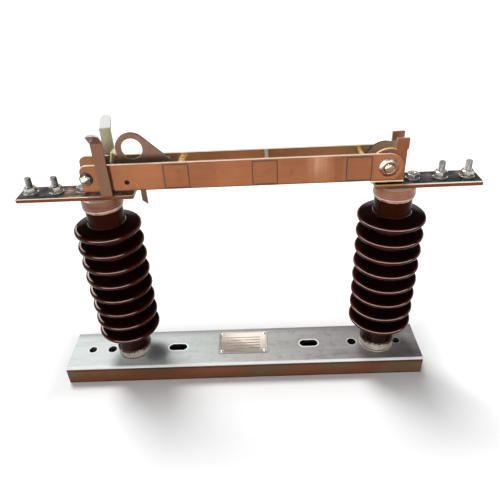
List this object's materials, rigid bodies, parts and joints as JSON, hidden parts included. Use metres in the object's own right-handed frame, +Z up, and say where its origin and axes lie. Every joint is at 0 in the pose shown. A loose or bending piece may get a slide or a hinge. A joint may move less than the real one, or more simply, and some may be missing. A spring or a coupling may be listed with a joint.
{
  "type": "disconnect switch",
  "caption": "Single-pole outdoor knife disconnect switch: channel base, ribbed porcelain posts, copper terminal plates, hinged twin-bar blade and a pull-ring latch.",
  "frame": {"origin": "on the floor, midway between the two post insulators and in the blade's middle plane", "axes": "+X along the blade from jaw to hinge, +Y away from the side with the front guide arm as pictured, +Z up"},
  "size_m": [0.784, 0.1194, 0.5286],
  "materials": {
    "galvanised_steel": "hot-dip galvanised, worn",
    "plate_metal": "satin",
    "zinc_steel": "bright zinc plate",
    "dark_steel": "blackened",
    "foot_metal": "grey-white, galvanised casting",
    "brown_porcelain": "dark brown gloss glaze",
    "cement": "rough, pale",
    "cap_metal": "satin mauve-brown",
    "tinned_copper": "copper, tinned dark on top",
    "dark_copper": "satin dark copper",
    "bar_copper": "satin copper",
    "tie_metal": "dull",
    "gold_zinc": "yellow zinc plate",
    "lever_bronze": "dark bronze"
  },
  "bodies": {
    "frame": {"base_channel": "galvanised_steel", "rating_plate": "plate_metal", "post_bolts": "zinc_steel", "jaw_post_foot": "foot_metal", "jaw_post_porcelain": "brown_porcelain", "jaw_post_cement": "cement", "jaw_post_cap": "cap_metal", "hinge_post_foot": "foot_metal", "hinge_post_porcelain": "brown_porcelain", "hinge_post_cement": "cement", "hinge_post_cap": "cap_metal", "jaw_plate": "tinned_copper", "hinge_plate": "tinned_copper", "jaw_studs": "zinc_steel", "hinge_studs": "zinc_steel", "jaw_stud_washers": "zinc_steel", "hinge_stud_washers": "zinc_steel", "jaw_stud_nuts": "zinc_steel", "hinge_stud_nuts": "zinc_steel", "jaw_cap_bolts": "zinc_steel", "hinge_cap_bolts": "zinc_steel", "guide_bracket": "dark_copper", "jaw_contact": "bar_copper", "hinge_bracket": "dark_copper"},
    "blade": {"front_bar": "bar_copper", "rear_bar": "bar_copper", "hinge_pin": "zinc_steel", "hinge_domes": "zinc_steel", "contact_bolt": "zinc_steel", "contact_washers": "dark_steel", "tie_plate": "tie_metal", "stop_bar": "gold_zinc", "tail_spacer": "gold_zinc", "latch_pin": "dark_steel", "latch_bushes": "gold_zinc"},
    "latch": {"latch_lever": "lever_bronze", "latch_spring": "gold_zinc"}
  },
  "joints": [
    {"name": "blade_hinge", "type": "hinge", "parent": "frame", "child": "blade", "pos_m": [0.233, 0, 0.44425], "axis": [0, 1, 0], "range_deg": [0, 74]},
    {"name": "latch_pull", "type": "hinge", "parent": "blade", "child": "latch", "pos_m": [-0.197, 0, 0.43575], "axis": [0, -1, 0], "range_deg": [0, 12], "stiffness_Nm_per_rad": 1, "springref_deg": -11.46}
  ]
}
